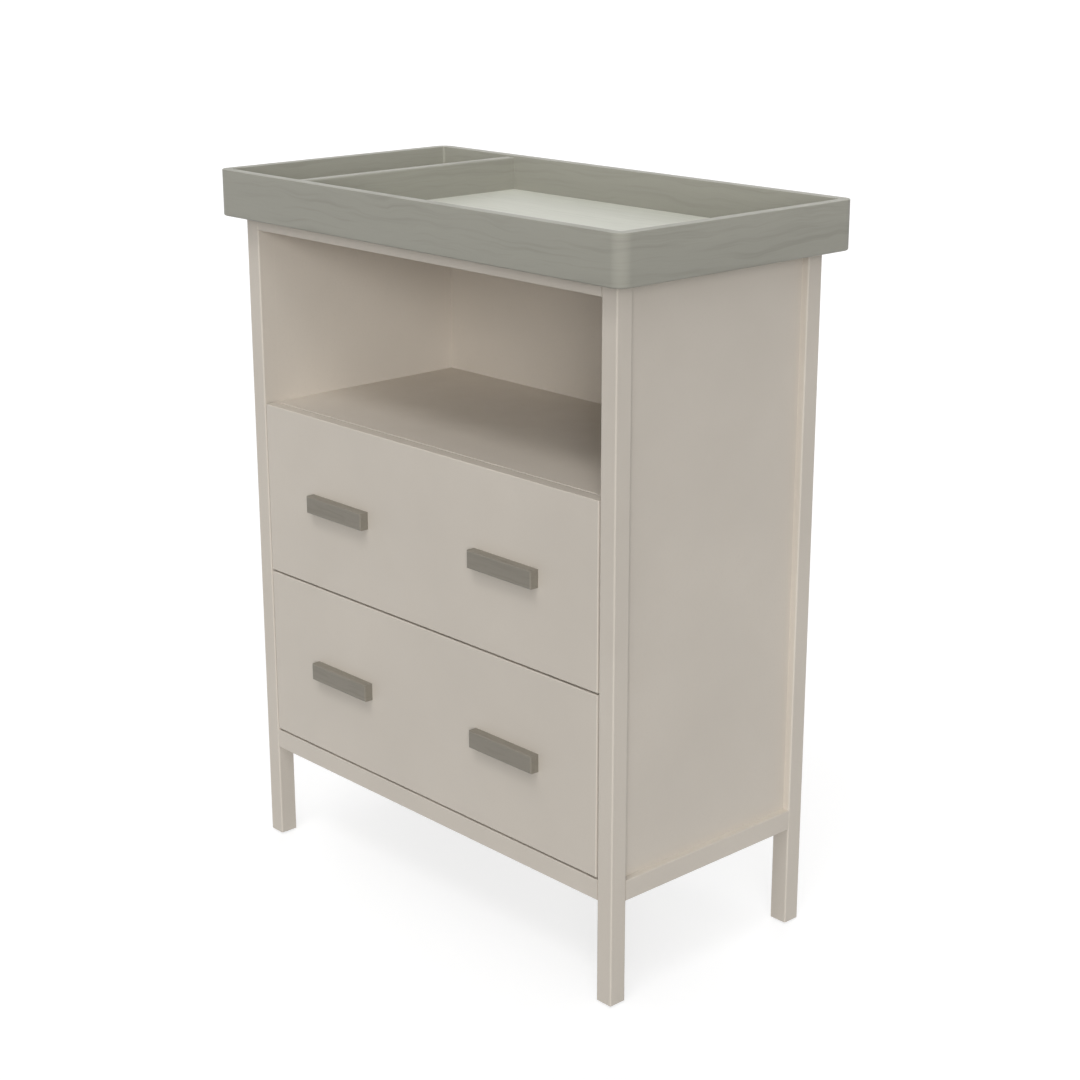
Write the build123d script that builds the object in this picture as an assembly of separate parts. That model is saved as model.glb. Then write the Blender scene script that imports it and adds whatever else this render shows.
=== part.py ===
from build123d import *
import os

# Changing table: a tray top over an open niche and two drawers that run on rollers.
# Millimetres. The origin is on the floor under the middle, +Z is up and the drawers open to -Y.

# Carcass
carcass_width = 736.0
carcass_depth = 364.0
leg_height = 144.0
post_size = 26.0
post_edge_radius = 2.0
rail_height = 28.0
cross_rail_thickness = 20.0
side_panel_thickness = 16.0
niche_height = 247.0
shelf_thickness = 16.0
shelf_front_gap = 2.0
top_panel_thickness = 18.0
back_panel_thickness = 6.0
back_panel_inset = 9.0
arris_radius = 1.0
glide_diameter = 20.0
glide_foot_diameter = 17.0
glide_thickness = 3.0

# Tray
tray_height = 64.0
tray_overhang_side = 30.0
tray_overhang_end = 25.0
tray_board_thickness = 15.0
tray_floor_thickness = 16.0
tray_corner_radius = 18.0
tray_edge_radius = 2.5
side_bay_width = 142.0
divider_thickness = 16.0
divider_drop = 2.0
housing_depth = 5.0
housing_clearance = 0.1

# Drawers
drawer_front_height = 247.0
drawer_front_thickness = 18.0
drawer_front_gap = 2.5
drawer_front_edge_radius = 1.5
drawer_side_height = 180.0
drawer_side_thickness = 12.0
drawer_side_chamfer = 1.5
drawer_bottom_thickness = 4.0
drawer_bottom_lift = 10.0
drawer_groove_depth = 6.0
drawer_groove_clearance = 0.2
drawer_rear_clearance = 31.0

# Block pulls
pull_length = 122.0
pull_height = 24.5
pull_depth = 13.5
pull_edge_radius = 2.0
pull_spacing = 343.0
pull_end_wall = 9.0
pull_lip_thickness = 5.0
pull_web_height = 8.5
pull_cove_radius = 5.0

# Roller runners
runner_lift = 18.0
runner_front_gap = 2.0
runner_floor_width = 10.0
runner_guard_width = 8.0
runner_guard_setback = 36.0
runner_guard_gap = 3.0
runner_bend_radius = 1.4
runner_foot_lift = 2.0
runner_foot_width = 10.0
sheet_thickness = 1.2
roller_diameter = 18.4
roller_width = 8.0
roller_side_gap = 0.3
roller_track_gap = 0.3
roller_lift = 0.3
roller_setback = 13.0
axle_diameter = 4.0
axle_clearance = 0.05
axle_head_diameter = 7.0
axle_head_thickness = 1.2
axle_head_gap = 0.2
axle_pass_gap = 0.9
stop_spacing = 36.0
stop_gap = 0.5
stop_thickness = 1.5
stop_height = 8.0
stop_width = 5.0

# Heights, stacked up from the floor
rail_top = leg_height + rail_height
lower_front_base = rail_top + drawer_front_gap
lower_front_top = lower_front_base + drawer_front_height
upper_front_base = lower_front_top + drawer_front_gap
shelf_top = upper_front_base + drawer_front_height
top_panel_base = shelf_top + niche_height
carcass_top = top_panel_base + top_panel_thickness
tray_floor_top = carcass_top + tray_floor_thickness
tray_top = carcass_top + tray_height

# Faces of the carcass
outer_half = carcass_width / 2
inner_half = outer_half - post_size
front_face = -carcass_depth / 2
rear_face = carcass_depth / 2
back_panel_rear = rear_face - back_panel_inset
back_panel_front = back_panel_rear - back_panel_thickness
drawer_front_back = front_face + drawer_front_thickness

# Section of a runner, across from the cabinet side and up from the underside of the channel
roller_inner_side = sheet_thickness + roller_side_gap
axle_head_base = roller_inner_side + roller_width + axle_head_gap
axle_head_top = axle_head_base + axle_head_thickness
runner_space = axle_head_top + axle_pass_gap + sheet_thickness
roller_radius = roller_diameter / 2
rear_roller_height = sheet_thickness + roller_track_gap + roller_radius
front_roller_height = rear_roller_height + roller_lift
track_base = front_roller_height + roller_radius + roller_track_gap
guard_base = track_base + sheet_thickness + runner_guard_gap
runner_height = guard_base + sheet_thickness
drawer_foot = runner_foot_lift + sheet_thickness

# Lengths along the runner
box_rear = back_panel_front - drawer_rear_clearance
runner_front = drawer_front_back + runner_front_gap
front_roller_y = runner_front + roller_setback
rear_roller_y = box_rear - roller_setback
front_stop_y = front_roller_y + stop_spacing
rear_stop_y = rear_roller_y + roller_radius + stop_gap

# Widths of a drawer
box_half = inner_half - runner_space
box_inner_half = box_half - drawer_side_thickness
drawer_front_half = inner_half - drawer_front_gap
drawer_groove_height = drawer_bottom_thickness + drawer_groove_clearance

nodes = {}


def mirrored(shape):
    """The same piece on the left-hand side."""
    return mirror(shape, about=Plane.YZ)


def both_sides(name, right_piece):
    """Keep a right-hand piece and its left-hand twin."""
    nodes[name + "_right"] = right_piece
    nodes[name + "_left"] = mirrored(right_piece)


def board(x_span, y_span, z_span):
    """A board between three pairs of faces."""
    middle = [(low + high) / 2 for low, high in (x_span, y_span, z_span)]
    size = [high - low for low, high in (x_span, y_span, z_span)]
    return Pos(*middle) * Box(*size)


def bar(section, y_front, y_rear):
    """A section drawn in X and Z, drawn out from the front to the rear."""
    return extrude(Plane.XZ.offset(-y_rear) * section, amount=y_rear - y_front)


def turned(outline, x_base, y, z):
    """A profile of distance along X and radius, turned about an axle that runs inwards from x_base."""
    face = make_face(Polyline(*[(-along, radius) for along, radius in outline], close=True))
    return Pos(x_base, y, z) * revolve(face, axis=Axis.X)


# Corner posts, rounded on their long edges except where they lie flush with a side panel
def post(y_span):
    plain = board((inner_half, outer_half), y_span, (glide_thickness, carcass_top))
    rounded_edges = plain.edges().filter_by(Axis.Z).sort_by_distance((inner_half, 0, carcass_top / 2))[1:]
    return fillet(rounded_edges, post_edge_radius)


both_sides("post_front", post((front_face, front_face + post_size)))
both_sides("post_back", post((rear_face - post_size, rear_face)))

# Plastic glides under the posts, tapered to the floor
glide = Pos(0, 0, glide_thickness / 2) * Cone(glide_foot_diameter / 2, glide_diameter / 2, glide_thickness)
glide_places = GridLocations(carcass_width - post_size, carcass_depth - post_size, 2, 2)
nodes["foot_glides"] = Compound([place * glide for place in glide_places])

# Side panels, flush with the posts inside and set back outside, on rails as thick as the posts
panel_span = (-rear_face + post_size, rear_face - post_size)
both_sides(
    "side_panel",
    board((inner_half, inner_half + side_panel_thickness), panel_span, (rail_top, carcass_top)),
)
side_rail = board((inner_half, outer_half), panel_span, (leg_height, rail_top))
outer_arrises = side_rail.edges().filter_by(Axis.Y).group_by(Axis.X)[-1]
both_sides("side_rail", fillet(outer_arrises, arris_radius))

# Boards that join the two sides
inner_span = (-inner_half, inner_half)


def cross_board(y_span, z_span):
    """A board across the carcass with its front arrises eased."""
    plain = board(inner_span, y_span, z_span)
    front_edges = plain.edges().filter_by(Axis.X).group_by(Axis.Y)[0]
    return fillet(front_edges, arris_radius)


rail_span = (leg_height, rail_top)
shelf_span = (shelf_top - shelf_thickness, shelf_top)
nodes["front_rail"] = cross_board((front_face, front_face + cross_rail_thickness), rail_span)
nodes["back_rail"] = cross_board((back_panel_front - cross_rail_thickness, back_panel_front), rail_span)
nodes["niche_shelf"] = cross_board((drawer_front_back + shelf_front_gap, back_panel_front), shelf_span)
nodes["top_panel"] = cross_board((front_face, back_panel_front), (top_panel_base, carcass_top))
nodes["back_panel"] = board(inner_span, (back_panel_front, back_panel_rear), (leg_height, carcass_top))

# Tray rim: one rounded frame, eased along its top and cut into four boards at the mitres
tray_half_width = outer_half + tray_overhang_side
tray_half_depth = rear_face + tray_overhang_end
tray_inner_half_width = tray_half_width - tray_board_thickness
tray_inner_half_depth = tray_half_depth - tray_board_thickness
rim_section = RectangleRounded(2 * tray_half_width, 2 * tray_half_depth, tray_corner_radius)
rim_section -= Rectangle(2 * tray_inner_half_width, 2 * tray_inner_half_depth)
rim = Pos(0, 0, carcass_top) * extrude(rim_section, amount=tray_height)
rim = fillet(rim.edges().group_by(Axis.Z)[-1], tray_edge_radius)


def mitred(outer_from, outer_to, inner_to, inner_from):
    """The length of rim between two mitres."""
    wedge = make_face(Polyline(outer_from, outer_to, inner_to, inner_from, close=True))
    return rim & (Pos(0, 0, carcass_top) * extrude(wedge, amount=tray_height))


def rim_corner(side, end):
    """The outer and inner points of one mitre."""
    outer = (side * tray_half_width, end * tray_half_depth)
    inner = (side * tray_inner_half_width, end * tray_inner_half_depth)
    return outer, inner


def rim_board(first, second):
    outer_from, inner_from = rim_corner(*first)
    outer_to, inner_to = rim_corner(*second)
    return mitred(outer_from, outer_to, inner_to, inner_from)


nodes["tray_front"] = rim_board((-1, -1), (1, -1))
nodes["tray_right"] = rim_board((1, -1), (1, 1))
nodes["tray_back"] = rim_board((1, 1), (-1, 1))
nodes["tray_left"] = rim_board((-1, 1), (-1, -1))

# Tray floor between the rims, housed for the divider
divider_left = side_bay_width - tray_inner_half_width
divider_span = (divider_left, divider_left + divider_thickness)
tray_inner_span = (-tray_inner_half_depth, tray_inner_half_depth)
housing_base = tray_floor_top - housing_depth
tray_floor = board(
    (-tray_inner_half_width, tray_inner_half_width), tray_inner_span, (carcass_top, tray_floor_top)
)
tray_floor -= board(
    (divider_span[0] - housing_clearance, divider_span[1] + housing_clearance),
    tray_inner_span,
    (housing_base, tray_floor_top),
)
nodes["tray_floor"] = tray_floor
divider = board(divider_span, tray_inner_span, (housing_base, tray_top - divider_drop))
nodes["tray_divider"] = fillet(divider.edges().filter_by(Axis.Y).group_by(Axis.Z)[-1], tray_edge_radius)


# Block pull: rounded bar with a coved finger groove behind the lip, stopped short of both ends
def pull(x_middle, z_middle):
    block = Box(pull_length, pull_depth, pull_height)
    front_edges = block.faces().sort_by(Axis.Y)[0].edges()
    block = fillet(front_edges, pull_edge_radius)
    groove_depth = pull_depth - pull_lip_thickness
    groove_height = pull_height - pull_web_height
    groove_length = pull_length - 2 * pull_end_wall
    groove = Pos(0, (pull_depth - groove_depth) / 2, (groove_height - pull_height) / 2) * Box(
        groove_length, groove_depth, groove_height
    )
    groove = fillet(groove.faces().sort_by(Axis.Y)[0].edges().sort_by(Axis.Z)[1:], pull_cove_radius)
    return Pos(x_middle, front_face - pull_depth / 2, z_middle) * (block - groove)


# Sheet steel runners
def bent_sheet(points, z_base):
    """A folded strip of sheet, from points on its middle line given across and up from the cabinet side."""
    corners = [(inner_half - across, z_base + up) for across, up in points]
    return trace(FilletPolyline(*corners, radius=runner_bend_radius), sheet_thickness)


half_sheet = sheet_thickness / 2
cabinet_web = half_sheet
drawer_web = runner_space - half_sheet


def stop_tab(y_base, z_base):
    """A tab turned in from the channel's web, that stops the rear roller."""
    return board(
        (inner_half - stop_width, inner_half - half_sheet),
        (y_base, y_base + stop_thickness),
        (z_base + half_sheet, z_base + stop_height),
    )


def cabinet_runner(z_base):
    """Channel on the cabinet side, with its guard flange cut back above the front roller."""
    section = bent_sheet(
        [
            (runner_floor_width, half_sheet),
            (cabinet_web, half_sheet),
            (cabinet_web, runner_height - half_sheet),
            (runner_guard_width, runner_height - half_sheet),
        ],
        z_base,
    )
    channel = bar(section, runner_front, box_rear)
    channel -= board(
        (inner_half - runner_guard_width, inner_half - sheet_thickness),
        (runner_front, runner_front + runner_guard_setback),
        (z_base + guard_base - runner_bend_radius, z_base + runner_height),
    )
    channel += stop_tab(front_stop_y - stop_thickness, z_base)
    return channel + stop_tab(rear_stop_y, z_base)


def drawer_runner(z_base):
    """Profile on the drawer: a track flange over the front roller and a foot under the drawer side."""
    section = bent_sheet(
        [
            (roller_inner_side, track_base + half_sheet),
            (drawer_web, track_base + half_sheet),
            (drawer_web, drawer_foot - half_sheet),
            (runner_space + runner_foot_width, drawer_foot - half_sheet),
        ],
        z_base,
    )
    return bar(section, drawer_front_back, box_rear)


# Rollers and the headed studs that they turn on, as profiles of distance across the runner and radius
roller_bore = axle_diameter / 2 + axle_clearance
roller_outline = [
    (roller_inner_side, roller_bore),
    (roller_inner_side, roller_radius),
    (roller_inner_side + roller_width, roller_radius),
    (roller_inner_side + roller_width, roller_bore),
]
axle_outline = [
    (sheet_thickness, 0),
    (sheet_thickness, axle_diameter / 2),
    (axle_head_base, axle_diameter / 2),
    (axle_head_base, axle_head_diameter / 2),
    (axle_head_top, axle_head_diameter / 2),
    (axle_head_top, 0),
]


def facing_out(outline):
    """The same profile, seen from the drawer's side of the runner."""
    return [(runner_space - along, radius) for along, radius in outline]


# Drawer box
def drawer_side(z_base):
    """A side of the box, grooved for the bottom, with its top and the edge over the runner's bend eased."""
    y_span = (drawer_front_back, box_rear)
    plain = board((box_inner_half, box_half), y_span, (z_base, z_base + drawer_side_height))
    eased_edges = plain.edges().filter_by(Axis.Y).sort_by_distance((box_inner_half, 0, z_base))[1:]
    groove_low = z_base + drawer_bottom_lift
    groove = board(
        (box_inner_half, box_inner_half + drawer_groove_depth),
        y_span,
        (groove_low, groove_low + drawer_groove_height),
    )
    return chamfer(eased_edges, drawer_side_chamfer) - groove


def drawer_front(z_low, z_base):
    """A drawer front with an eased face and a groove for the bottom across its back."""
    plain = board(
        (-drawer_front_half, drawer_front_half),
        (front_face, drawer_front_back),
        (z_low, z_low + drawer_front_height),
    )
    face_edges = plain.faces().sort_by(Axis.Y)[0].edges()
    groove_half = box_inner_half + drawer_groove_depth
    groove_low = z_base + drawer_bottom_lift
    groove = board(
        (-groove_half, groove_half),
        (drawer_front_back - drawer_groove_depth, drawer_front_back),
        (groove_low, groove_low + drawer_groove_height),
    )
    return fillet(face_edges, drawer_front_edge_radius) - groove


def add_drawer(name, z_low):
    """One drawer, its runners and rollers, from the height of its front's lower edge."""
    runner_base = z_low + runner_lift
    box_base = runner_base + drawer_foot
    bottom_base = box_base + drawer_bottom_lift
    bottom_top = bottom_base + drawer_bottom_thickness
    bottom_half = box_inner_half + drawer_groove_depth - drawer_groove_clearance
    bottom_front = drawer_front_back - drawer_groove_depth + drawer_groove_clearance
    nodes[name + "_front"] = drawer_front(z_low, box_base)
    both_sides(name + "_side", drawer_side(box_base))
    nodes[name + "_back"] = board(
        (-box_inner_half, box_inner_half),
        (box_rear - drawer_side_thickness, box_rear),
        (bottom_top, box_base + drawer_side_height),
    )
    nodes[name + "_bottom"] = board(
        (-bottom_half, bottom_half),
        (bottom_front, box_rear),
        (bottom_base, bottom_top),
    )
    both_sides(name + "_pull", pull(pull_spacing / 2, z_low + drawer_front_height / 2))
    both_sides(name + "_cabinet_runner", cabinet_runner(runner_base))
    both_sides(name + "_drawer_runner", drawer_runner(runner_base))
    front_axle = (front_roller_y, runner_base + front_roller_height)
    rear_axle = (rear_roller_y, runner_base + rear_roller_height)
    both_sides(name + "_front_roller", turned(roller_outline, inner_half, *front_axle))
    both_sides(name + "_rear_roller", turned(facing_out(roller_outline), inner_half, *rear_axle))
    cabinet_axle = turned(axle_outline, inner_half, *front_axle)
    drawer_axle = turned(facing_out(axle_outline), inner_half, *rear_axle)
    nodes[name + "_cabinet_axles"] = Compound([cabinet_axle, mirrored(cabinet_axle)])
    nodes[name + "_drawer_axles"] = Compound([drawer_axle, mirrored(drawer_axle)])


add_drawer("upper", upper_front_base)
add_drawer("lower", lower_front_base)

os.makedirs("parts", exist_ok=True)
for name, shape in nodes.items():
    export_step(shape, f"parts/{name}.step")
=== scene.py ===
"""Changing table: finishes, small hardware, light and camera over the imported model, in metres."""

import logging
import math
from dataclasses import dataclass
from enum import Enum
from functools import lru_cache
from typing import Dict, Iterable, List, Mapping, Optional, Protocol, Sequence, Tuple, Union

import bpy
from mathutils import Matrix, Vector


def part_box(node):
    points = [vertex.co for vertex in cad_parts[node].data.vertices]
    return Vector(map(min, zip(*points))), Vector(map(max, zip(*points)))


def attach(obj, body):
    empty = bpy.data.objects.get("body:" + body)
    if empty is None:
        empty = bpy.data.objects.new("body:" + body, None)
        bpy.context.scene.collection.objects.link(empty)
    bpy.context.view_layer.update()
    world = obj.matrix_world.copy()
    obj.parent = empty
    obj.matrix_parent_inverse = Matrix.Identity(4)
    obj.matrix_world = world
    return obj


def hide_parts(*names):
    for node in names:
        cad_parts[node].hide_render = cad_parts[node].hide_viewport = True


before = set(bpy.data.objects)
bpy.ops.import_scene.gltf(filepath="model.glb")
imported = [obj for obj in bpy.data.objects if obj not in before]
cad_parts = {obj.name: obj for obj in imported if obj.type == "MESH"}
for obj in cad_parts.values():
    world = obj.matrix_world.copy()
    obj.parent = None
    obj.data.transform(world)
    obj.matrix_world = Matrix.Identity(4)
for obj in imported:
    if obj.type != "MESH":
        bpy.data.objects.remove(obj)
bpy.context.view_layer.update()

LOG = logging.getLogger("changing_table")
MM = 0.001
WHITE = (1.0, 1.0, 1.0, 1.0)

Colour = Tuple[float, float, float]
Point = Tuple[float, float, float]
Range = Tuple[float, float]
Socket = bpy.types.NodeSocket
Feed = Union[Socket, float, int, Sequence[float]]


class Grain(Enum):
    """The way that a board's grain runs, as how far a streak is drawn out along X, Y and Z."""

    ALONG_WIDTH = (30.0, 1.0, 1.0)
    LEVEL = (30.0, 30.0, 1.0)


class Side(Enum):
    """A side of the table, with the sign of its X."""

    LEFT = -1
    RIGHT = 1


class Level(Enum):
    """The two drawers."""

    UPPER = "upper"
    LOWER = "lower"


class Head(Enum):
    """Screw heads, as width and height in metres."""

    PAN = (7.0 * MM, 1.9 * MM)
    SMALL_PAN = (5.6 * MM, 1.5 * MM)
    WAFER = (6.4 * MM, 0.55 * MM)


def tone(colour: Colour, times: float) -> Colour:
    """A colour made lighter or darker."""
    return tuple(min(1.0, channel * times) for channel in colour)


def new_object(name: str, data: bpy.types.ID) -> bpy.types.Object:
    """Put a new object that shows some data in the scene."""
    thing = bpy.data.objects.new(name, data)
    bpy.context.scene.collection.objects.link(thing)
    return thing


class Graph:
    """A node tree in the making, with short calls that add nodes and join them."""

    def __init__(self, tree: bpy.types.NodeTree) -> None:
        """Take up a tree."""
        self.tree = tree

    def add(self, kind: str, feeds: Optional[Mapping] = None, **settings: object) -> bpy.types.Node:
        """Add a node.

        Args:
            kind: Blender's name for the node.
            feeds: values or sockets for its inputs, by name or number.
            settings: the node's own settings.

        Returns:
            The new node.
        """
        node = self.tree.nodes.new(kind)
        for key, value in settings.items():
            setattr(node, key, value)
        for key, value in (feeds or {}).items():
            self.feed(node.inputs[key], value)
        return node

    def feed(self, socket: Socket, value: Feed) -> None:
        """Give an input a constant, or join it to another node's output."""
        if isinstance(value, bpy.types.NodeSocket):
            self.tree.links.new(value, socket)
        else:
            socket.default_value = value

    def maths(self, operation: str, first: Feed, second: Feed) -> Socket:
        """One sum on two values."""
        return self.add("ShaderNodeMath", {0: first, 1: second}, operation=operation).outputs[0]


class Recipe(Graph):
    """A material in the making."""

    EDGE_SAMPLES = 4
    EDGE_TURN = (0.75, 0.995)

    def __init__(self, name: str) -> None:
        """Start a material with one shader that reads the piece's own coordinates."""
        self.material = bpy.data.materials.new(name)
        self.material.use_nodes = True
        super().__init__(self.material.node_tree)
        self.tree.nodes.clear()
        self.shader = self.add("ShaderNodeBsdfPrincipled")
        self.add("ShaderNodeOutputMaterial", {"Surface": self.shader.outputs["BSDF"]})
        self.place = self.add("ShaderNodeTexCoord").outputs["Object"]

    def noise(
        self,
        size: float,
        stretch: Sequence[float] = (1, 1, 1),
        detail: float = 2.0,
        place: Optional[Socket] = None,
    ) -> Socket:
        """Cloudy noise.

        Args:
            size: how far across a cloud is, in metres.
            stretch: how many times longer it is along X, Y and Z.
            detail: how many finer layers it has.
            place: coordinates other than the piece's own.

        Returns:
            The noise, about 0 to 1.
        """
        scale = [1.0 / (size * times) for times in stretch]
        spot = self.add("ShaderNodeMapping", {"Vector": place or self.place, "Scale": scale})
        feeds = {"Vector": spot.outputs[0], "Scale": 1.0, "Detail": detail}
        return self.add("ShaderNodeTexNoise", feeds).outputs[0]

    def swayed(self, size: float, amount: float) -> Socket:
        """The piece's coordinates, moved to and fro by slow noise.

        Args:
            size: how far across a wave is, in metres.
            amount: how far a line strays, in metres.

        Returns:
            The coordinates, in which a straight streak wanders.
        """
        stray = self.spread(self.noise(size, (1, 1, 0.5)), -amount, amount)
        shift = self.add("ShaderNodeCombineXYZ", {1: stray, 2: stray}).outputs[0]
        feeds = {0: self.place, 1: shift}
        return self.add("ShaderNodeVectorMath", feeds, operation="ADD").outputs[0]

    def spread(
        self, value: Socket, low: float, high: float, start: float = 0.3, end: float = 0.7
    ) -> Socket:
        """Map start to end of a value onto low to high, held at both ends."""
        feeds = {"Value": value, "From Min": start, "From Max": end, "To Min": low, "To Max": high}
        return self.add("ShaderNodeMapRange", feeds).outputs[0]

    def clouds(self, size: float, detail: float = 2.0) -> Socket:
        """Clouds of a size in metres, spread over 0 to 1."""
        return self.spread(self.noise(size, detail=detail), 0.0, 1.0)

    def mix(self, share: Feed, first: Feed, second: Feed) -> Socket:
        """The first colour, going over to the second by share."""
        first, second = (tuple(c) + (1.0,) if isinstance(c, tuple) else c for c in (first, second))
        feeds = {0: share, 6: first, 7: second}
        return self.add("ShaderNodeMix", feeds, data_type="RGBA").outputs[2]

    def shade(self, share: Socket, colour: Colour, dark: float, light: float) -> Socket:
        """A colour that goes from dark times itself to light times itself by share."""
        return self.mix(share, tone(colour, dark), tone(colour, light))

    def relief(self, height: Socket, depth: float, under: Optional[Socket] = None) -> Socket:
        """A bumpy surface.

        Args:
            height: the bumps, 0 to 1.
            depth: how deep they are, in metres.
            under: another relief that this one lies on.

        Returns:
            The bent normal.
        """
        node = self.add("ShaderNodeBump", {"Height": height, "Distance": depth, "Strength": 1.0})
        if under is not None:
            self.feed(node.inputs["Normal"], under)
        return node.outputs["Normal"]

    def edges(self, width: float) -> Socket:
        """Edges over a width in metres: 0 on a flat face, up to 1 along an outer or inner edge."""
        eased = self.add("ShaderNodeBevel", {"Radius": width}, samples=self.EDGE_SAMPLES)
        plain = self.add("ShaderNodeNewGeometry")
        feeds = {0: eased.outputs["Normal"], 1: plain.outputs["Normal"]}
        turn = self.add("ShaderNodeVectorMath", feeds, operation="DOT_PRODUCT")
        return self.spread(turn.outputs["Value"], 1.0, 0.0, *self.EDGE_TURN)

    def finish(self, **feeds: Feed) -> bpy.types.Material:
        """Feed the shader's sockets, named with _ for a space, and hand the material over."""
        for name, value in feeds.items():
            self.feed(self.shader.inputs[name.replace("_", " ").title()], value)
        return self.material


class Finish(Protocol):
    """What a piece can be dressed in."""

    def material(self) -> bpy.types.Material:
        """The finished material."""


@dataclass(frozen=True)
class SatinPaint:
    """Sprayed satin paint: faint clouds, a fine stipple, and paler edges of wear and painted
    highlight.
    """

    name: str
    colour: Colour
    roughness: float = 0.44
    roughness_range: Range = (0.39, 0.51)
    blotch_size: float = 50 * MM
    clouds: float = 0.035
    cloud_size: float = 210 * MM
    speck_size: float = 3.5 * MM
    speck_share: float = 0.35
    speck_tone: float = 0.95
    edge_width: float = 1.6 * MM
    patch_size: float = 30 * MM
    # How much paler the edges are painted: partly wear, partly a painted highlight.
    edge_wear_and_highlight: float = 1.08
    wave_size: float = 60 * MM
    wave_depth: float = 0.25 * MM
    stipple_size: float = 1.6 * MM
    stipple_depth: float = 0.035 * MM

    def colour_on(self, recipe: Recipe) -> Socket:
        """The paint's colour over the piece."""
        cloud = recipe.clouds(self.cloud_size, detail=3.0)
        body = recipe.shade(cloud, self.colour, 1 - self.clouds, 1 + self.clouds)
        speck = recipe.spread(recipe.noise(self.speck_size), 0.0, self.speck_share, 0.55, 0.75)
        body = recipe.mix(speck, body, tone(self.colour, self.speck_tone))
        # Paler edges, outer and inner, in patches: partly wear, partly a painted highlight along
        # the edges.
        patches = recipe.spread(recipe.noise(self.patch_size), 0.15, 0.8)
        edge_blend = recipe.maths("MULTIPLY", recipe.edges(self.edge_width), patches)
        return recipe.mix(edge_blend, body, tone(self.colour, self.edge_wear_and_highlight))

    def relief_on(self, recipe: Recipe) -> Socket:
        """The stipple of the spray over slow waves of the board."""
        waves = recipe.relief(recipe.noise(self.wave_size), self.wave_depth)
        return recipe.relief(recipe.noise(self.stipple_size, detail=1.0), self.stipple_depth, waves)

    @lru_cache(maxsize=None)
    def material(self) -> bpy.types.Material:
        """The finished material."""
        recipe = Recipe(self.name)
        blotches = recipe.noise(self.blotch_size, detail=4.0)
        return recipe.finish(
            base_color=self.colour_on(recipe),
            roughness=recipe.spread(blotches, *self.roughness_range),
            normal=self.relief_on(recipe),
        )


@dataclass(frozen=True)
class StainedBoard:
    """Stained and lacquered board with its grain drawn out one way."""

    name: str
    colour: Colour
    grain: Grain
    streak: float = 0.90
    roughness: float = 0.48
    streak_roughness: float = 0.12
    coat: float = 0.06
    coat_roughness: float = 0.28
    sway_size: float = 110 * MM
    sway: float = 6 * MM
    band_size: float = 30 * MM
    streak_size: float = 5.2 * MM
    streak_depth: float = 0.06 * MM
    pore_size: float = 1.2 * MM
    pore_share: float = 0.35
    pore_depth: float = 0.05 * MM
    edge_width: float = 1.2 * MM
    patch_size: float = 20 * MM
    # How much paler the edges are painted: partly wear, partly a painted highlight.
    edge_wear_and_highlight: float = 1.08

    @lru_cache(maxsize=None)
    def material(self) -> bpy.types.Material:
        """The finished material."""
        recipe = Recipe(self.name)
        run, place = self.grain.value, recipe.swayed(self.sway_size, self.sway)
        bands = recipe.spread(recipe.noise(self.band_size, run, 3.0, place), 0.0, 1.0)
        lines = recipe.noise(self.streak_size, run, 2.0, place)
        streaks = recipe.spread(lines, 0.0, 1.0, 0.50, 0.74)
        pores = recipe.spread(recipe.noise(self.pore_size, run, 1.0, place), 0.0, 1.0, 0.56, 0.74)
        dark = tone(self.colour, self.streak)
        body = recipe.mix(streaks, recipe.shade(bands, self.colour, 0.97, 1.03), dark)
        body = recipe.mix(recipe.maths("MULTIPLY", pores, self.pore_share), body, dark)
        # Paler edges and rim tops, outer and inner, in patches: partly wear, partly a painted
        # highlight.
        patches = recipe.spread(recipe.noise(self.patch_size), 0.2, 0.9)
        edge_blend = recipe.maths("MULTIPLY", recipe.edges(self.edge_width), patches)
        rough = self.roughness + self.streak_roughness
        grooves = recipe.relief(recipe.maths("SUBTRACT", 1.0, streaks), self.streak_depth)
        return recipe.finish(
            base_color=recipe.mix(edge_blend, body, tone(self.colour, self.edge_wear_and_highlight)),
            roughness=recipe.spread(streaks, self.roughness, rough, 0.0, 1.0),
            normal=recipe.relief(recipe.maths("SUBTRACT", 1.0, pores), self.pore_depth, grooves),
            coat_weight=self.coat,
            coat_roughness=self.coat_roughness,
        )


@dataclass(frozen=True)
class FacedBoard:
    """Board faced with printed paper: a soft weave of fine lines both ways."""

    name: str
    colour: Colour
    roughness: Range = (0.48, 0.58)
    cloud_size: float = 120 * MM
    thread: float = 1.3 * MM
    thread_run: float = 30.0
    weave_share: float = 0.35
    weave_depth: float = 0.03 * MM
    edge_width: float = 1.0 * MM
    edge_share: float = 0.5

    @lru_cache(maxsize=None)
    def material(self) -> bpy.types.Material:
        """The finished material."""
        recipe = Recipe(self.name)
        run = self.thread_run
        along, up = recipe.noise(self.thread, (1, run, 1)), recipe.noise(self.thread, (run, 1, run))
        weave = recipe.spread(recipe.maths("MULTIPLY", along, up), 0.0, 1.0, 0.15, 0.38)
        cloud = recipe.clouds(self.cloud_size)
        body = recipe.shade(cloud, self.colour, 0.96, 1.03)
        lines = recipe.maths("MULTIPLY", weave, self.weave_share)
        body = recipe.mix(lines, body, tone(self.colour, 0.86))
        # The board goes darker along its outer and inner edges.
        edge_blend = recipe.maths("MULTIPLY", recipe.edges(self.edge_width), self.edge_share)
        return recipe.finish(
            base_color=recipe.mix(edge_blend, body, tone(self.colour, 0.82)),
            roughness=recipe.spread(cloud, *self.roughness, 0.0, 1.0),
            normal=recipe.relief(weave, self.weave_depth),
        )


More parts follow.
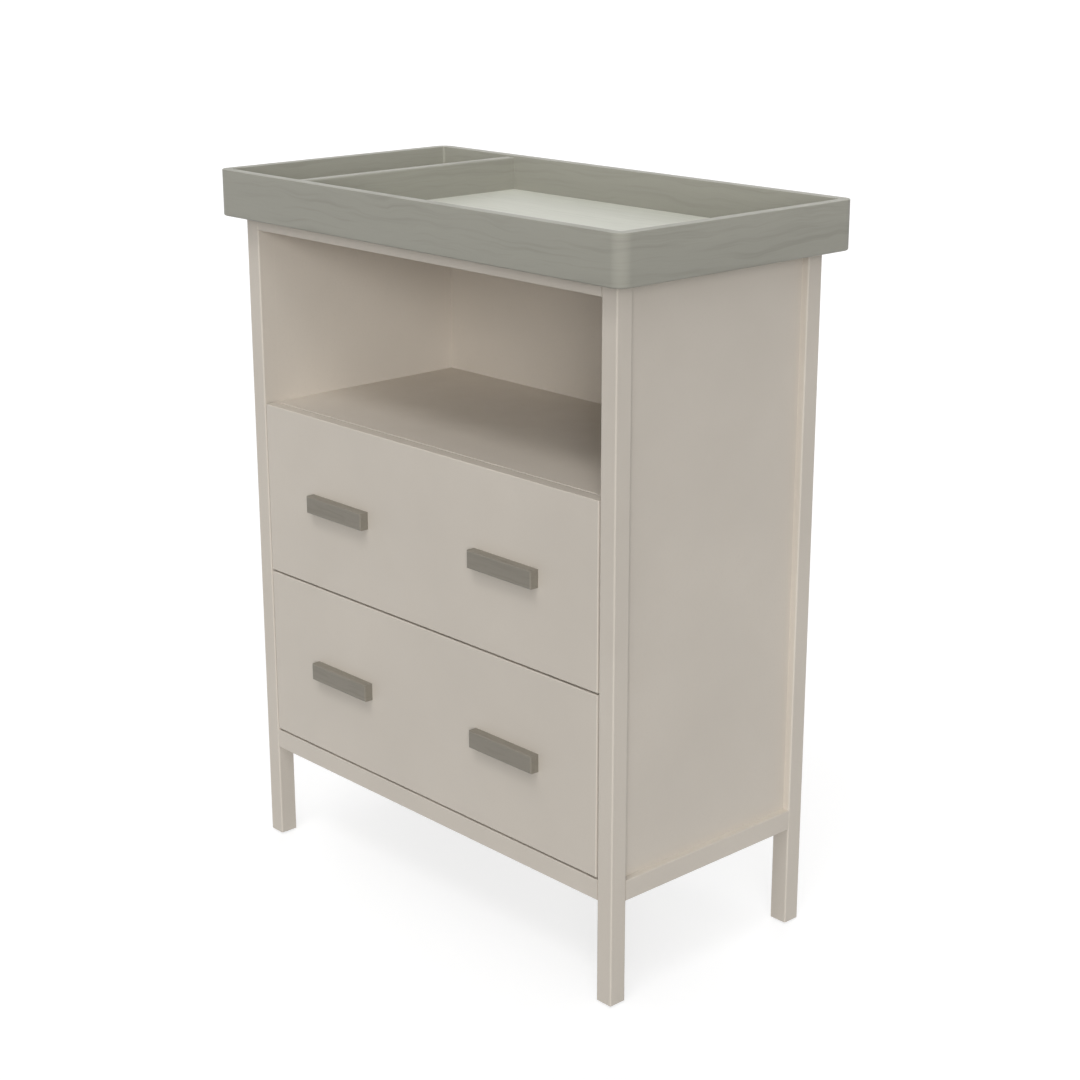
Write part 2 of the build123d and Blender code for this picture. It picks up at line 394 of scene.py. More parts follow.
@dataclass(frozen=True)
class PaintedFibreboard:
    """Thin fibreboard: painted on the face towards the niche, bare and flecked behind."""

    name: str
    paint: SatinPaint
    bare: Colour
    bare_from_y: float
    bare_roughness: float = 0.78
    cloud_size: float = 90 * MM
    fibre_size: float = 2.2 * MM
    fibre_depth: float = 0.05 * MM
    fleck_size: float = 3 * MM

    @lru_cache(maxsize=None)
    def material(self) -> bpy.types.Material:
        """The finished material."""
        recipe = Recipe(self.name)
        raw = recipe.shade(recipe.clouds(self.cloud_size, detail=4.0), self.bare, 0.90, 1.08)
        fibre = recipe.spread(recipe.noise(self.fibre_size, (3, 1, 1), 3.0), 0.0, 0.6, 0.54, 0.70)
        raw = recipe.mix(fibre, raw, tone(self.bare, 0.62))
        fleck = recipe.spread(recipe.noise(self.fleck_size, (1, 1, 3)), 0.0, 0.5, 0.60, 0.72)
        raw = recipe.mix(fleck, raw, tone(self.bare, 1.35))
        depth = recipe.add("ShaderNodeSeparateXYZ", {0: recipe.place}).outputs["Y"]
        behind = recipe.maths("GREATER_THAN", depth, self.bare_from_y)
        return recipe.finish(
            base_color=recipe.mix(behind, self.paint.colour_on(recipe), raw),
            roughness=recipe.spread(behind, self.paint.roughness, self.bare_roughness, 0.0, 1.0),
            normal=recipe.relief(fibre, self.fibre_depth, self.paint.relief_on(recipe)),
        )


@dataclass(frozen=True)
class CoatedSteel:
    """Folded steel under a powder coat: orange peel, and metal that shows along scuffed edges."""

    name: str
    colour: Colour
    metal: Colour = (0.36, 0.355, 0.34)
    roughness: Range = (0.30, 0.42)
    coat: float = 0.2
    coat_roughness: float = 0.2
    cloud_size: float = 40 * MM
    peel_size: float = 1.1 * MM
    peel_depth: float = 0.03 * MM
    edge_width: float = 0.5 * MM
    patch_size: float = 8 * MM

    @lru_cache(maxsize=None)
    def material(self) -> bpy.types.Material:
        """The finished material."""
        recipe = Recipe(self.name)
        cloud = recipe.clouds(self.cloud_size, detail=3.0)
        patches = recipe.spread(recipe.noise(self.patch_size), 0.0, 0.7, 0.5, 0.7)
        edge_blend = recipe.maths("MULTIPLY", recipe.edges(self.edge_width), patches)
        return recipe.finish(
            base_color=recipe.mix(edge_blend, recipe.shade(cloud, self.colour, 0.95, 1.03), self.metal),
            roughness=recipe.spread(cloud, *self.roughness, 0.0, 1.0),
            normal=recipe.relief(recipe.noise(self.peel_size, detail=1.0), self.peel_depth),
            coat_weight=self.coat,
            coat_roughness=self.coat_roughness,
        )


@dataclass(frozen=True)
class MouldedPlastic:
    """Moulded plastic with a fine spark-eroded skin."""

    name: str
    colour: Colour
    roughness: Range = (0.37, 0.50)
    cloud_size: float = 12 * MM
    skin_size: float = 0.5 * MM
    skin_depth: float = 0.012 * MM
    glow: float = 0.08
    glow_depth: float = 2 * MM

    @lru_cache(maxsize=None)
    def material(self) -> bpy.types.Material:
        """The finished material."""
        recipe = Recipe(self.name)
        cloud = recipe.clouds(self.cloud_size, detail=3.0)
        return recipe.finish(
            base_color=recipe.shade(cloud, self.colour, 0.93, 1.03),
            roughness=recipe.spread(cloud, *self.roughness, 0.0, 1.0),
            normal=recipe.relief(recipe.noise(self.skin_size, detail=1.0), self.skin_depth),
            subsurface_weight=self.glow,
            subsurface_scale=self.glow_depth,
        )


@dataclass(frozen=True)
class PlatedSteel:
    """Zinc plated steel, a little cloudy, with fine scratches."""

    name: str
    colour: Colour
    roughness: Range = (0.28, 0.44)
    cloud_size: float = 3 * MM
    scratch_size: float = 0.3 * MM
    scratch_run: float = 12.0
    scratch_depth: float = 0.006 * MM

    @lru_cache(maxsize=None)
    def material(self) -> bpy.types.Material:
        """The finished material."""
        recipe = Recipe(self.name)
        cloud = recipe.clouds(self.cloud_size, detail=3.0)
        scratches = recipe.noise(self.scratch_size, (1, self.scratch_run, 1), 1.0)
        return recipe.finish(
            base_color=recipe.shade(cloud, self.colour, 0.86, 1.05),
            metallic=1.0,
            roughness=recipe.spread(cloud, *self.roughness, 0.0, 1.0),
            normal=recipe.relief(scratches, self.scratch_depth),
        )


BODY_PAINT = SatinPaint("warm_greige_paint", (0.605, 0.553, 0.485))
TRAY_STAIN = StainedBoard("sage_stain", (0.320, 0.313, 0.268), Grain.LEVEL)
# The tray floor is partly its own paler finish, and its colour is raised further as painted light
# from above.
TRAY_FLOOR = StainedBoard(
    "pale_tray_floor", (0.600, 0.605, 0.537), Grain.ALONG_WIDTH, streak=0.95, roughness=0.56
)
PULL_PAINT = StainedBoard("grey_pull_lacquer", (0.222, 0.202, 0.166), Grain.ALONG_WIDTH)
DRAWER_BOARD = FacedBoard("drawer_box_facing", (0.60, 0.55, 0.47))
DRAWER_BASE = FacedBoard("drawer_bottom_facing", (0.56, 0.51, 0.43), roughness=(0.56, 0.66))
RUNNER_STEEL = CoatedSteel("cream_powder_coat", (0.70, 0.69, 0.65))
ROLLER_NYLON = MouldedPlastic("roller_nylon", (0.80, 0.79, 0.75))
GLIDE_PLASTIC = MouldedPlastic("glide_plastic", (0.62, 0.61, 0.58), roughness=(0.45, 0.58))
ZINC = PlatedSteel("zinc_plate", (0.62, 0.62, 0.60))


def dress(names: Iterable[str], finish: Finish) -> None:
    """Give CAD pieces a finish.

    Args:
        names: the pieces' node names.
        finish: what they are dressed in.
    """
    material = finish.material()
    for name in names:
        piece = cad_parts[name]
        if not piece.material_slots:
            piece.data.materials.append(material)
        for slot in piece.material_slots:
            slot.material = material
        LOG.info("%s: %s", name, material.name)


@dataclass(frozen=True)
class Spot:
    """Where a repeated piece goes: a point on a surface, the way it faces and how large it is."""

    point: Vector
    facing: Vector
    width: float = 1.0
    height: float = 1.0


def screw(point: Sequence[float], facing: Sequence[float], head: Head) -> Spot:
    """The spot for one screw head."""
    return Spot(Vector(point), Vector(facing), *head.value)


class Growth(Graph):
    """A Geometry Nodes tree in the making, which ends in one mesh with a finish."""

    def __init__(self, name: str) -> None:
        """Start a tree that takes a mesh and a material."""
        super().__init__(bpy.data.node_groups.new(name, "GeometryNodeTree"))
        self.sockets: Dict[str, str] = {}
        self.declare("Base", "NodeSocketGeometry")
        self.declare("Finish", "NodeSocketMaterial")
        self.tree.interface.new_socket("Pieces", in_out="OUTPUT", socket_type="NodeSocketGeometry")
        self.start = self.add("NodeGroupInput")

    def declare(self, name: str, kind: str, value: Optional[float] = None) -> None:
        """Add a named input, with the value that it starts from."""
        socket = self.tree.interface.new_socket(name, in_out="INPUT", socket_type=kind)
        self.sockets[name] = socket.identifier
        if value is not None:
            socket.default_value = value

    def given(self, name: str) -> Socket:
        """A named input, inside the tree."""
        return self.start.outputs[name]

    def own(self, name: str, kind: str) -> Socket:
        """A value that each point of the base carries."""
        feeds = {"Name": name}
        return self.add("GeometryNodeInputNamedAttribute", feeds, data_type=kind).outputs[0]

    def close(self, geometry: Socket) -> None:
        """End the tree with the geometry as one real mesh with the finish."""
        real = self.add("GeometryNodeRealizeInstances", {0: geometry})
        feeds = {"Geometry": real.outputs[0], "Material": self.given("Finish")}
        dressed = self.add("GeometryNodeSetMaterial", feeds)
        self.add("NodeGroupOutput", {0: dressed.outputs[0]})

    def grow(
        self, name: str, base: bpy.types.Mesh, finish: Finish, **inputs: float
    ) -> bpy.types.Object:
        """Set the tree to work on a base.

        Args:
            name: the piece's name.
            base: the mesh that the tree starts from.
            finish: what the piece is dressed in.
            inputs: other named inputs of the tree, with _ for a space.

        Returns:
            An object whose modifier runs the tree.
        """
        piece = new_object(name, base)
        modifier = piece.modifiers.new("grow", "NODES")
        modifier.node_group = self.tree
        modifier[self.sockets["Finish"]] = finish.material()
        for key, value in inputs.items():
            modifier[self.sockets[key.replace("_", " ").title()]] = value
        return piece


class ScrewHeads(Growth):
    """Domed screw heads with a cross recess, each turned as it was driven."""

    RIM_STEPS = 20
    RIM_HEIGHT = 0.9
    DOME_STEPS = ((0.30, 0.90), (0.18, 0.84), (0.07, 0.74))
    HEAD_TOP = 1.0

    def __init__(self) -> None:
        """Build the tree for a head that is one wide and one high, with its inputs."""
        super().__init__("screw_heads")
        self.declare("Recess Length", "NodeSocketFloat", 0.56)
        self.declare("Recess Width", "NodeSocketFloat", 0.14)
        self.declare("Recess Depth", "NodeSocketFloat", 0.70)
        self.declare("Seed", "NodeSocketInt", 7)
        cut = self.add(
            "GeometryNodeMeshBoolean",
            {"Mesh 1": self.head(), "Mesh 2": self.cross(), "Self Intersection": True},
            operation="DIFFERENCE",
            solver="EXACT",
        )
        width, height = self.own("width", "FLOAT"), self.own("height", "FLOAT")
        size = self.add("ShaderNodeCombineXYZ", {0: width, 1: width, 2: height})
        feeds = {
            "Points": self.given("Base"),
            "Instance": cut.outputs["Mesh"],
            "Rotation": self.turn(),
            "Scale": size.outputs[0],
        }
        self.close(self.add("GeometryNodeInstanceOnPoints", feeds).outputs[0])

    def head(self) -> Socket:
        """A low cylinder, drawn in to a dome by three steps."""
        feeds = {"Vertices": self.RIM_STEPS, "Radius": 0.5, "Depth": self.RIM_HEIGHT}
        rim = self.add("GeometryNodeMeshCylinder", feeds)
        head, top = rim.outputs["Mesh"], rim.outputs["Top"]
        for rise, narrow in self.DOME_STEPS:
            feeds = {"Mesh": head, "Selection": top, "Offset Scale": rise}
            lifted = self.add("GeometryNodeExtrudeMesh", feeds, mode="FACES")
            top = lifted.outputs["Top"]
            drawn_in = {"Geometry": lifted.outputs["Mesh"], "Selection": top, "Scale": narrow}
            head = self.add("GeometryNodeScaleElements", drawn_in).outputs[0]
        return head

    def cross(self) -> Socket:
        """Two crossed bars, as large as the recess, half sunk in the top of the head."""
        cross = self.add("GeometryNodeJoinGeometry")
        length, width = self.given("Recess Length"), self.given("Recess Width")
        depth = self.given("Recess Depth")
        for across, along in ((length, width), (width, length)):
            size = self.add("ShaderNodeCombineXYZ", {0: across, 1: along, 2: depth})
            arm = self.add("GeometryNodeMeshCube", {"Size": size.outputs[0]})
            feeds = {"Geometry": arm.outputs[0], "Translation": (0, 0, self.HEAD_TOP)}
            raised = self.add("GeometryNodeTransform", feeds)
            self.feed(cross.inputs[0], raised.outputs[0])
        return cross.outputs[0]

    def turn(self) -> Socket:
        """The way that each head faces, with a turn on its own axis by chance."""
        feeds = {"Vector": self.own("facing", "FLOAT_VECTOR")}
        turn = self.add("FunctionNodeAlignRotationToVector", feeds, axis="Z").outputs[0]
        spin = self.add("FunctionNodeRandomValue", {"Seed": self.given("Seed")}, data_type="FLOAT")
        numbers = [socket for socket in spin.inputs if socket.type == "VALUE" and socket.enabled]
        numbers[0].default_value, numbers[1].default_value = 0.0, math.tau
        angle = next(socket for socket in spin.outputs if socket.type == "VALUE")
        about = self.add("FunctionNodeAxisAngleToRotation", {"Axis": (0, 0, 1), "Angle": angle})
        feeds = {"Rotation": turn, "Rotate By": about.outputs[0]}
        return self.add("FunctionNodeRotateRotation", feeds, rotation_space="LOCAL").outputs[0]

    def drive(self, name: str, spots: Sequence[Spot], finish: Finish) -> bpy.types.Object:
        """Put a head on every spot.

        Args:
            name: the piece's name.
            spots: where the heads go.
            finish: what the piece is dressed in.

        Returns:
            An object whose modifier runs the tree.
        """
        base = bpy.data.meshes.new(name + "_spots")
        base.from_pydata([tuple(spot.point) for spot in spots], [], [])
        for value, kind in (("facing", "FLOAT_VECTOR"), ("width", "FLOAT"), ("height", "FLOAT")):
            base.attributes.new(value, kind, "POINT")
        ways = [part for spot in spots for part in spot.facing]
        base.attributes["facing"].data.foreach_set("vector", ways)
        base.attributes["width"].data.foreach_set("value", [spot.width for spot in spots])
        base.attributes["height"].data.foreach_set("value", [spot.height for spot in spots])
        return self.grow(name, base, finish)


class RimSweep(Growth):
    """A rim board's section, swept once round a rectangle with rounded corners."""

    SIZES = (
        "Width", "Depth", "Foot", "Height", "Wall", "Corner Radius", "Top Radius", "Foot Radius",
    )

    def __init__(self) -> None:
        """Build the tree, with the rim's sizes as its inputs."""
        super().__init__("rim_sweep")
        for size in self.SIZES:
            self.declare(size, "NodeSocketFloat", 0.0)
        self.declare("Corner Steps", "NodeSocketInt", 24)
        self.declare("Edge Steps", "NodeSocketInt", 5)
        outline = self.rounded("Width", "Depth", self.given("Corner Radius"), "Corner Steps")
        path = self.add("GeometryNodeSetCurveNormal", {"Curve": outline}, mode="Z_UP").outputs[0]
        feeds = {"Curve": path, "Profile Curve": self.section()}
        swept = self.add("GeometryNodeCurveToMesh", feeds).outputs[0]
        half = self.maths("MULTIPLY", self.given("Height"), 0.5)
        lift = self.add("ShaderNodeCombineXYZ", {2: self.maths("ADD", half, self.given("Foot"))})
        feeds = {"Geometry": swept, "Translation": lift.outputs[0]}
        self.close(self.add("GeometryNodeTransform", feeds).outputs[0])

    def rounded(self, width: str, height: str, radius: Socket, steps: str) -> Socket:
        """A rectangle with rounded corners, by the names of its inputs."""
        sides = {"Width": self.given(width), "Height": self.given(height)}
        plain = self.add("GeometryNodeCurvePrimitiveQuadrilateral", sides, mode="RECTANGLE")
        feeds = {"Curve": plain.outputs[0], "Radius": radius, "Count": self.given(steps)}
        return self.add("GeometryNodeFilletCurve", feeds, mode="POLY").outputs[0]

    def section(self) -> Socket:
        """The board's section with its outer face on the path, more rounded above than below."""
        place = self.add("GeometryNodeInputPosition").outputs[0]
        across = self.add("ShaderNodeSeparateXYZ", {0: place}).outputs["Y"]
        feeds = {"Switch": self.maths("GREATER_THAN", across, 0.0)}
        feeds.update({"False": self.given("Foot Radius"), "True": self.given("Top Radius")})
        radius = self.add("GeometryNodeSwitch", feeds, input_type="FLOAT").outputs[0]
        board = self.rounded("Wall", "Height", radius, "Edge Steps")
        inwards = self.maths("MULTIPLY", self.given("Wall"), -0.5)
        aside = self.add("ShaderNodeCombineXYZ", {0: inwards})
        feeds = {"Geometry": board, "Translation": aside.outputs[0]}
        return self.add("GeometryNodeTransform", feeds).outputs[0]


def turned_rings(
    name: str,
    outline: Sequence[Tuple[float, float]],
    spots: Sequence[Spot],
    finish: Finish,
    steps: int = 56,
) -> bpy.types.Object:
    """Rings turned about the axes of spots, as one mesh.

    Args:
        name: the piece's name.
        outline: a ring's closed section as height and radius in metres, walked so that the faces
            point outwards.
        spots: where the rings go, with the way that each one's axis points.
        finish: what the piece is dressed in.
        steps: how many faces go round.

    Returns:
        The rings as a mesh object at the origin.
    """
    points: List[Vector] = []
    faces: List[Tuple[int, ...]] = []
    count = len(outline)
    for spot in spots:
        first = len(points)
        turn = spot.facing.to_track_quat("Z", "Y").to_matrix()
        for step in range(steps):
            angle = math.tau * step / steps
            around = Vector((math.cos(angle), math.sin(angle), 0.0))
            for rise, radius in outline:
                points.append(spot.point + turn @ (around * radius + Vector((0, 0, rise))))
        for step in range(steps):
            here, there = first + step * count, first + (step + 1) % steps * count
            for index in range(count):
                after = (index + 1) % count
                faces.append((here + index, there + index, there + after, here + after))
    mesh = bpy.data.meshes.new(name)
    mesh.from_pydata(points, [], faces)
    mesh.materials.append(finish.material())
    return new_object(name, mesh)


@dataclass(frozen=True)
class Made:
    """A new piece, the body that carries it, its slot in the record and the nodes it stands for."""

    piece: bpy.types.Object
    body: str
    slot: str
    stands_for: Sequence[str] = ()

    def hand_over(self) -> None:
        """Let the piece ride on its body."""
        if self.stands_for:
            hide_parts(*self.stands_for)
        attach(self.piece, self.body)
        LOG.info("%s: %d faces on %s", self.piece.name, len(self.piece.data.polygons), self.body)


def settle(pieces: Sequence[bpy.types.Object]) -> None:
    """Turn what the trees grew into plain meshes, all in one go."""
    view = bpy.context.evaluated_depsgraph_get()
    meshes = [bpy.data.meshes.new_from_object(piece.evaluated_get(view)) for piece in pieces]
    for piece, mesh in zip(pieces, meshes):
        piece.modifiers.clear()
        mesh.name = piece.name
        piece.data = mesh


@dataclass
class Carcass:
    """Posts, panels, rails, shelf and back, with the screws that hold back and tray."""

    back_screw_columns: Sequence[float] = (-0.315, -0.19, -0.063, 0.063, 0.19, 0.315)
    tray_screw_columns: Sequence[float] = (-0.29, 0.0, 0.29)
    tray_screw_rows: Sequence[float] = (-0.125, 0.110)
    bare_fibreboard: Colour = (0.40, 0.315, 0.225)
    painted: Sequence[str] = (
        "post_front_left", "post_front_right", "post_back_left", "post_back_right",
        "side_panel_left", "side_panel_right", "side_rail_left", "side_rail_right",
        "front_rail", "back_rail", "niche_shelf", "top_panel",
    )

    def build(self) -> None:
        """Dress the carcass."""
        dress(self.painted, BODY_PAINT)
        low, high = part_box("back_panel")
        middle = (low.y + high.y) / 2
        board = PaintedFibreboard("back_board", BODY_PAINT, self.bare_fibreboard, middle)
        dress(["back_panel"], board)
        dress(["foot_glides"], GLIDE_PLASTIC)

    def screws(self) -> List[Spot]:
        """Screws through the back into rail, shelf and top, and up through the top to the tray."""
        spots: List[Spot] = []
        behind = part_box("back_panel")[1].y
        for board in ("back_rail", "niche_shelf", "top_panel"):
            low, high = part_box(board)
            height = (low.z + high.z) / 2
            for x in self.back_screw_columns:
                spots.append(screw((x, behind, height), (0, 1, 0), Head.SMALL_PAN))
        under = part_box("top_panel")[0].z
        for y in self.tray_screw_rows:
            spots += [screw((x, y, under), (0, 0, -1), Head.PAN) for x in self.tray_screw_columns]
        return spots


@dataclass
class TrayTop:
    """The rimmed tray with its floor and divider."""

    rim_boards: Sequence[str] = ("tray_front", "tray_right", "tray_back", "tray_left")
    corner_radius: float = 18 * MM
    top_radius: float = 2.5 * MM
    foot_radius: float = 0.8 * MM

    def build(self) -> None:
        """Dress the tray."""
        dress(self.rim_boards, TRAY_STAIN)
        dress(["tray_divider"], TRAY_STAIN)
        dress(["tray_floor"], TRAY_FLOOR)

    def rim(self, sweep: RimSweep) -> Made:
        """The rim in one length, with its corners finely rounded."""
        low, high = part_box("tray_front")
        piece = sweep.grow(
            "tray_rim",
            bpy.data.meshes.new("tray_rim_base"),
            TRAY_STAIN,
            width=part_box("tray_right")[1].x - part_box("tray_left")[0].x,
            depth=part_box("tray_back")[1].y - low.y,
            foot=low.z,
            height=high.z - low.z,
            wall=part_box("tray_floor")[0].y - low.y,
            corner_radius=self.corner_radius,
            top_radius=self.top_radius,
            foot_radius=self.foot_radius,
        )
        return Made(piece, "cabinet", "tray_paint", self.rim_boards)


@dataclass
class Drawer:
    """One drawer with its pulls, runners, rollers and screws."""

    level: Level
    sheet: float = 1.2 * MM
    pull_screw_offset: float = 40 * MM
    runner_stations: Sequence[float] = (0.22, 0.52, 0.84)
    back_screw_margin: float = 34 * MM
    bottom_columns: Sequence[float] = (-0.225, -0.075, 0.075, 0.225)
    roller_edge: float = 0.8 * MM
    roller_easing: float = 0.3
    roller_rim: float = 2.3 * MM
    roller_recess: float = 1.6 * MM
    hub_radius: float = 4.1 * MM
    bore_radius: float = 2.05 * MM

    def named(self, *pieces: str) -> List[str]:
        """Names of this drawer's pieces."""
        return [f"{self.level.value}_{piece}" for piece in pieces]

    def pair(self, piece: str) -> List[str]:
        """Names of a left-hand and a right-hand piece."""
        return self.named(f"{piece}_left", f"{piece}_right")

    def build(self) -> None:
        """Dress the drawer."""
        dress(self.named("front"), BODY_PAINT)
        dress(self.pair("side") + self.named("back"), DRAWER_BOARD)
        dress(self.named("bottom"), DRAWER_BASE)
        dress(self.pair("pull"), PULL_PAINT)
        dress(self.pair("cabinet_runner") + self.pair("drawer_runner"), RUNNER_STEEL)
        dress(self.named("cabinet_axles", "drawer_axles"), ZINC)

    def roller_outline(self, width: float, radius: float) -> List[Tuple[float, float]]:
        """The section of a roller: tread with rounded edges, rim, recess and hub.

        Args:
            width: along the axle, in metres.
            radius: of the tread, in metres.

        Returns:
            Height and radius, walked round from the bore.
        """
        edge, small = self.roller_edge, self.roller_edge * self.roller_easing
        rim, hub = radius - self.roller_rim, self.hub_radius
        floor = width - self.roller_recess
        return [
            (0.0, self.bore_radius), (0.0, radius - edge), (small, radius - small), (edge, radius),
            (width - edge, radius), (width - small, radius - small), (width, radius - edge),
            (width, rim + small), (width - small, rim), (floor, rim - small), (floor, hub + small),
            (width - small, hub), (width, hub - small), (width, self.bore_radius),
        ]

    def rollers(self) -> List[Made]:
        """Turned rollers in place of the plain ones, a pair for each end of the runners."""
        made: List[Made] = []
        for end, outward in (("front", -1), ("rear", 1)):
            nodes = self.pair(f"{end}_roller")
            spots: List[Spot] = []
            for node, side in zip(nodes, Side):
                low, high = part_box(node)
                middle = (low + high) / 2
                inner, outer = (low.x, high.x) if side is Side.RIGHT else (high.x, low.x)
                base = outer if outward < 0 else inner
                point = Vector((base, middle.y, middle.z))
                spots.append(Spot(point, Vector((side.value * outward, 0, 0))))
            body = f"{self.level.value}_{end}_rollers"
            outline = self.roller_outline(high.x - low.x, (high.z - low.z) / 2)
            piece = turned_rings(body + "_turned", outline, spots, ROLLER_NYLON)
            made.append(Made(piece, body, "roller_nylon", nodes))
        return made

    def runner_screws(self, runner: str, side: Side, face: float, facing: int) -> List[Spot]:
        """Low screw heads along the web of a runner.

        Args:
            runner: the runner's node.
            side: the side that it is on.
            face: X of the web's face.
            facing: 1 where the heads face out of the table, -1 where they face in.

        Returns:
            The spots.
        """
        low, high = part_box(runner)
        height = (low.z + high.z) / 2
        stations = [low.y + share * (high.y - low.y) for share in self.runner_stations]
        return [screw((face, y, height), (side.value * facing, 0, 0), Head.WAFER) for y in stations]

    def cabinet_screws(self) -> List[Spot]:
        """Screws that hold the cabinet runners."""
        spots: List[Spot] = []
        for runner, side in zip(self.pair("cabinet_runner"), Side):
            low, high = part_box(runner)
            face = (low.x if side is Side.LEFT else high.x) - side.value * self.sheet
            spots += self.runner_screws(runner, side, face, -1)
        return spots

    def own_screws(self) -> List[Spot]:
        """Screws that go with the drawer: runners, pulls, back and bottom."""
        spots: List[Spot] = []
        back_low, back_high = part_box(*self.named("back"))
        back_y = (back_low.y + back_high.y) / 2
        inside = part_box(*self.named("front"))[1].y
        sides = zip(self.pair("side"), self.pair("drawer_runner"), self.pair("pull"), Side)
        for board, runner, pull, side in sides:
            low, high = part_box(board)
            wall = low.x if side is Side.LEFT else high.x
            spots += self.runner_screws(runner, side, wall + side.value * self.sheet, 1)
            for z in (back_low.z + self.back_screw_margin, back_high.z - self.back_screw_margin):
                spots.append(screw((wall, back_y, z), (side.value, 0, 0), Head.SMALL_PAN))
            low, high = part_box(pull)
            middle = (low + high) / 2
            for offset in (-self.pull_screw_offset, self.pull_screw_offset):
                spots.append(screw((middle.x + offset, inside, middle.z), (0, 1, 0), Head.PAN))
        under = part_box(*self.named("bottom"))[0].z
        for x in self.bottom_columns:
            spots.append(screw((x, back_y, under), (0, 0, -1), Head.SMALL_PAN))
        return spots


def towards(bearing: float, height: float) -> Vector:
    """The way from the table to a place round it.

    Args:
        bearing: from the front towards the right, in degrees.
        height: above the horizon, in degrees.

    Returns:
        The direction, one metre long.
    """
    turn, rise = math.radians(bearing), math.radians(height)
    level = math.cos(rise)
    return Vector((math.sin(turn) * level, -math.cos(turn) * level, math.sin(rise)))


def seen_directly(graph: Graph) -> Socket:
    """Add nodes that give 1 where the camera or a reflection sees a thing, and 0 for its light.

    Args:
        graph: the nodes of a material or a world.

    Returns:
        The value.
    """
    path = graph.add("ShaderNodeLightPath")
    seen: Socket = path.outputs["Is Camera Ray"]
    for ray in ("Is Glossy Ray", "Is Transmission Ray"):
        seen = graph.maths("MAXIMUM", seen, path.outputs[ray])
    return seen


@dataclass(frozen=True)
class Lamp:
    """A broad soft light from far away, with angles in degrees.

    The height and the bearing say where the light comes from, and the softness how wide it looks.
    A light without a glint fills shadows and shows in no reflection.
    """

    name: str
    strength: float
    height: float
    bearing: float
    softness: float
    glint: bool = True
    distance: float = 3.0

    def hang(self) -> None:
        """Put the light in the scene."""
        lamp = bpy.data.lights.new(self.name, "SUN")
        lamp.energy = self.strength
        lamp.angle = math.radians(self.softness)
        light = new_object(self.name, lamp)
        light.visible_glossy = self.glint
        source = towards(self.bearing, self.height)
        light.rotation_euler = source.to_track_quat("Z", "Y").to_euler()
        light.location = source * self.distance


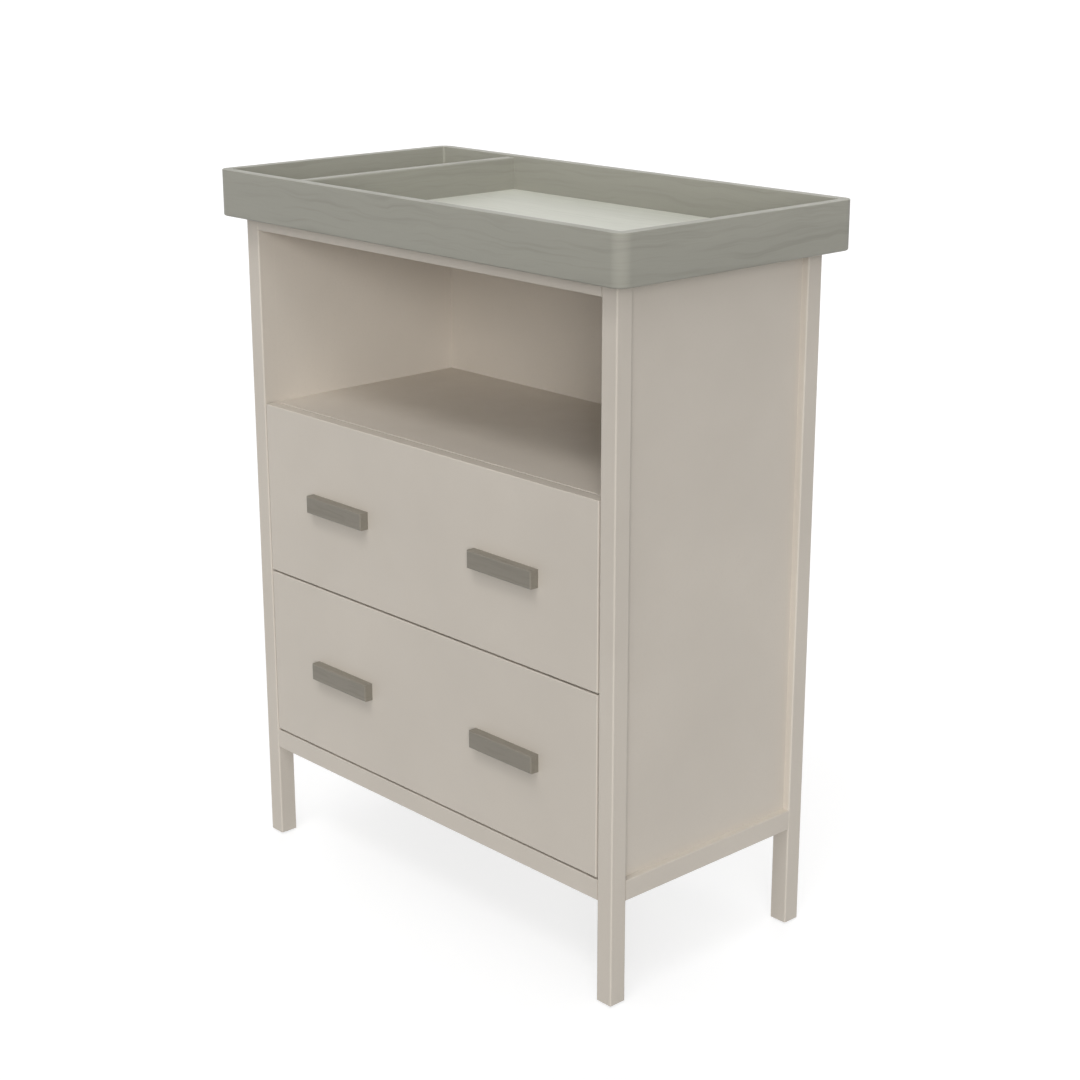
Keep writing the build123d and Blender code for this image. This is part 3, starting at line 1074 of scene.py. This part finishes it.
@dataclass
class Studio:
    """White floor, soft lights and the photograph's camera."""

    floor_reach: float = 60.0
    floor_colour: Colour = (0.33, 0.33, 0.33)
    floor_white: float = 0.74
    floor_roughness: Range = (0.85, 0.95)
    floor_cloud: float = 0.5
    sky: float = 0.02
    lamps: Sequence[Lamp] = (
        Lamp("overhead_light", 0.95, 88.0, 0.0, 60.0),
        Lamp("front_light", 0.55, 60.0, 18.0, 16.0),
        Lamp("key_light", 0.75, 39.0, 45.0, 36.0),
        Lamp("fill_light", 1.68, 12.0, 46.5, 22.0, glint=False),
        Lamp("back_light", 1.20, 22.0, 222.0, 50.0, glint=False),
    )
    camera_point: Point = (2.0709, -1.8706, 1.3697)
    camera_bearing: float = 47.377
    camera_drop: float = 17.182
    camera_roll: float = -0.074
    lens: float = 70.127
    sensor: float = 36.0
    camera_reach: float = 500.0

    def build(self) -> None:
        """Set up floor, light and camera."""
        self.floor()
        self.world()
        for lamp in self.lamps:
            lamp.hang()
        self.camera()
        bpy.context.scene.view_settings.view_transform = "Standard"

    def floor(self) -> None:
        """A wide plain floor under the glides, white where it is seen, with a faint shadow."""
        reach = self.floor_reach
        mesh = bpy.data.meshes.new("studio_floor")
        corners = [(-reach, -reach, 0), (reach, -reach, 0), (reach, reach, 0), (-reach, reach, 0)]
        mesh.from_pydata(corners, [], [(0, 1, 2, 3)])
        floor = new_object("studio_floor", mesh)
        recipe = Recipe("white_floor")
        cloud = recipe.spread(recipe.noise(self.floor_cloud), *self.floor_roughness)
        white = recipe.maths("MULTIPLY", seen_directly(recipe), self.floor_white)
        mesh.materials.append(
            recipe.finish(
                base_color=(*self.floor_colour, 1.0),
                roughness=cloud,
                emission_color=WHITE,
                emission_strength=white,
            )
        )

    def world(self) -> None:
        """Even sky light, and plain white where the camera or a reflection sees it."""
        world = bpy.data.worlds.new("studio_sky")
        bpy.context.scene.world = world
        world.use_nodes = True
        graph = Graph(world.node_tree)
        graph.tree.nodes.clear()
        feeds = {"Value": seen_directly(graph), "To Min": self.sky, "To Max": 1.0}
        strength = graph.add("ShaderNodeMapRange", feeds).outputs[0]
        sky = graph.add("ShaderNodeBackground", {"Color": WHITE, "Strength": strength})
        graph.add("ShaderNodeOutputWorld", {"Surface": sky.outputs[0]})

    def camera(self) -> None:
        """The camera, where the photograph was taken from."""
        data = bpy.data.cameras.new("photo_camera")
        data.lens = self.lens
        data.sensor_width = self.sensor
        data.clip_end = self.camera_reach
        camera = new_object("photo_camera", data)
        ahead = -towards(self.camera_bearing, self.camera_drop)
        facing = ahead.to_track_quat("-Z", "Y").to_matrix().to_4x4()
        roll = Matrix.Rotation(math.radians(self.camera_roll), 4, "Z")
        camera.matrix_world = Matrix.Translation(self.camera_point) @ facing @ roll
        bpy.context.scene.camera = camera


def main() -> None:
    """Build and dress the table, piece by piece, then the studio round it."""
    logging.basicConfig(level=logging.INFO, format="%(name)s %(message)s")
    heads = ScrewHeads()
    carcass, tray = Carcass(), TrayTop()
    carcass.build()
    tray.build()
    grown = [tray.rim(RimSweep())]
    turned: List[Made] = []
    cabinet_spots = carcass.screws()
    for level in Level:
        drawer = Drawer(level)
        drawer.build()
        turned += drawer.rollers()
        cabinet_spots += drawer.cabinet_screws()
        body = f"{level.value}_drawer"
        screws = heads.drive(body + "_screws", drawer.own_screws(), ZINC)
        grown.append(Made(screws, body, "axle_steel"))
    screws = heads.drive("cabinet_screws", cabinet_spots, ZINC)
    grown.append(Made(screws, "cabinet", "axle_steel"))
    settle([made.piece for made in grown])
    for made in grown + turned:
        made.hand_over()
    Studio().build()


if __name__ == "__main__":
    main()
